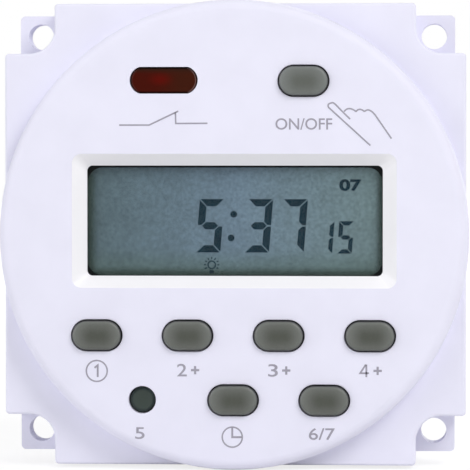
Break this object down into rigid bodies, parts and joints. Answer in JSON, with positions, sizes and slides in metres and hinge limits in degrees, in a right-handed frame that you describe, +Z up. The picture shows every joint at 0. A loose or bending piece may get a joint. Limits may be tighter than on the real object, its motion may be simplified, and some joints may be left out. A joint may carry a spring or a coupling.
{
  "type": "electronic timer",
  "caption": "Panel-mount digital weekly timer: white housing with fixing ears, liquid crystal display, rubber keys, red indicator and rear push-on terminals.",
  "frame": {"origin": "centre of the ear holes, on the back of the ears", "axes": "-Y out of the front face, +X to the right seen from the front, +Z up"},
  "size_m": [0.06, 0.0327, 0.06],
  "materials": {
    "white_plastic": "fine satin moulding",
    "label_film": "bare silver-grey film",
    "window_clear": "clear polished acrylic",
    "red_lens": "dark red, translucent",
    "grey_rubber": "satin silicone",
    "carbon_rubber": "matt conductive",
    "gold_plate": "thin gold plate",
    "lcd_film": "polarising film",
    "lcd_glass": "thin float glass",
    "lcd_reflector": "grey-green reflector",
    "zebra_rubber": "striped conductive silicone",
    "green_board": "solder mask",
    "black_resin": "cast epoxy",
    "steel": "plated",
    "red_lamp": "diffuse red epoxy",
    "black_plastic": "moulded",
    "yellow_plastic": "moulded box",
    "capacitor_sleeve": "shrunk sleeve",
    "blue_coating": "dipped coating",
    "battery_case": "nickel-plated",
    "resistor_coating": "dipped coating",
    "tinned_blade": "tinned brass",
    "relay_blue": "moulded",
    "iron": "plated soft iron",
    "copper_winding": "enamelled wire",
    "contact_metal": "silver-tipped bronze"
  },
  "bodies": {
    "housing": {"backup_battery": "battery_case", "board_link_pins": "black_plastic", "board_screws": "steel", "cancel_recall_key_web": "grey_rubber", "clock_crystal": "steel", "clock_key_web": "grey_rubber", "controller_blob": "black_resin", "day_key_web": "grey_rubber", "display_board": "green_board", "display_window": "window_clear", "electrolytic_capacitor": "capacitor_sleeve", "film_capacitor": "yellow_plastic", "front_cover": "white_plastic", "hour_key_web": "grey_rubber", "indicator_led": "red_lamp", "indicator_lens": "red_lens", "key_contacts": "gold_plate", "keypad_mat": "grey_rubber", "lcd_frame": "white_plastic", "lcd_front_glass": "lcd_glass", "lcd_polariser": "lcd_film", "lcd_rear_glass": "lcd_glass", "lcd_reflector": "lcd_reflector", "manual_key_mat": "grey_rubber", "manual_key_web": "grey_rubber", "minute_key_web": "grey_rubber", "power_board": "green_board", "program_key_web": "grey_rubber", "rear_housing": "white_plastic", "rear_label": "label_film", "rectifier_diodes": "black_resin", "relay_base": "black_plastic", "relay_coil": "copper_winding", "relay_contacts": "contact_metal", "relay_cover": "relay_blue", "relay_yoke": "iron", "reset_key_web": "grey_rubber", "resistors": "resistor_coating", "switching_transistor": "black_resin", "terminal_blades": "tinned_blade", "terminal_block": "white_plastic", "varistor": "blue_coating", "zebra_strips": "zebra_rubber"},
    "manual_button": {"manual_key": "grey_rubber", "manual_key_pill": "carbon_rubber"},
    "program_button": {"program_key": "grey_rubber", "program_key_pill": "carbon_rubber"},
    "day_button": {"day_key": "grey_rubber", "day_key_pill": "carbon_rubber"},
    "hour_button": {"hour_key": "grey_rubber", "hour_key_pill": "carbon_rubber"},
    "minute_button": {"minute_key": "grey_rubber", "minute_key_pill": "carbon_rubber"},
    "reset_button": {"reset_key": "grey_rubber", "reset_key_pill": "carbon_rubber"},
    "clock_button": {"clock_key": "grey_rubber", "clock_key_pill": "carbon_rubber"},
    "cancel_recall_button": {"cancel_recall_key": "grey_rubber", "cancel_recall_key_pill": "carbon_rubber"},
    "armature": {"relay_armature": "iron"}
  },
  "joints": [
    {"name": "manual_key_press", "type": "slide", "parent": "housing", "child": "manual_button", "axis": [0, 1, 0], "range_m": [0, 0.001], "stiffness_N_per_m": 1200, "springref_m": -0.0003, "deforming": ["manual_key_web"]},
    {"name": "program_key_press", "type": "slide", "parent": "housing", "child": "program_button", "axis": [0, 1, 0], "range_m": [0, 0.001], "stiffness_N_per_m": 1200, "springref_m": -0.0003, "deforming": ["program_key_web"]},
    {"name": "day_key_press", "type": "slide", "parent": "housing", "child": "day_button", "axis": [0, 1, 0], "range_m": [0, 0.001], "stiffness_N_per_m": 1200, "springref_m": -0.0003, "deforming": ["day_key_web"]},
    {"name": "hour_key_press", "type": "slide", "parent": "housing", "child": "hour_button", "axis": [0, 1, 0], "range_m": [0, 0.001], "stiffness_N_per_m": 1200, "springref_m": -0.0003, "deforming": ["hour_key_web"]},
    {"name": "minute_key_press", "type": "slide", "parent": "housing", "child": "minute_button", "axis": [0, 1, 0], "range_m": [0, 0.001], "stiffness_N_per_m": 1200, "springref_m": -0.0003, "deforming": ["minute_key_web"]},
    {"name": "reset_key_press", "type": "slide", "parent": "housing", "child": "reset_button", "axis": [0, 1, 0], "range_m": [0, 0.001], "stiffness_N_per_m": 1200, "springref_m": -0.0003, "deforming": ["reset_key_web"]},
    {"name": "clock_key_press", "type": "slide", "parent": "housing", "child": "clock_button", "axis": [0, 1, 0], "range_m": [0, 0.001], "stiffness_N_per_m": 1200, "springref_m": -0.0003, "deforming": ["clock_key_web"]},
    {"name": "cancel_recall_key_press", "type": "slide", "parent": "housing", "child": "cancel_recall_button", "axis": [0, 1, 0], "range_m": [0, 0.001], "stiffness_N_per_m": 1200, "springref_m": -0.0003, "deforming": ["cancel_recall_key_web"]},
    {"name": "relay_armature_hinge", "type": "hinge", "parent": "housing", "child": "armature", "pos_m": [-0.0136, 0.01322, 0.005], "axis": [0, 0, -1], "range_deg": [0, 2.8], "stiffness_Nm_per_rad": 0.02, "springref_deg": -2.86}
  ]
}
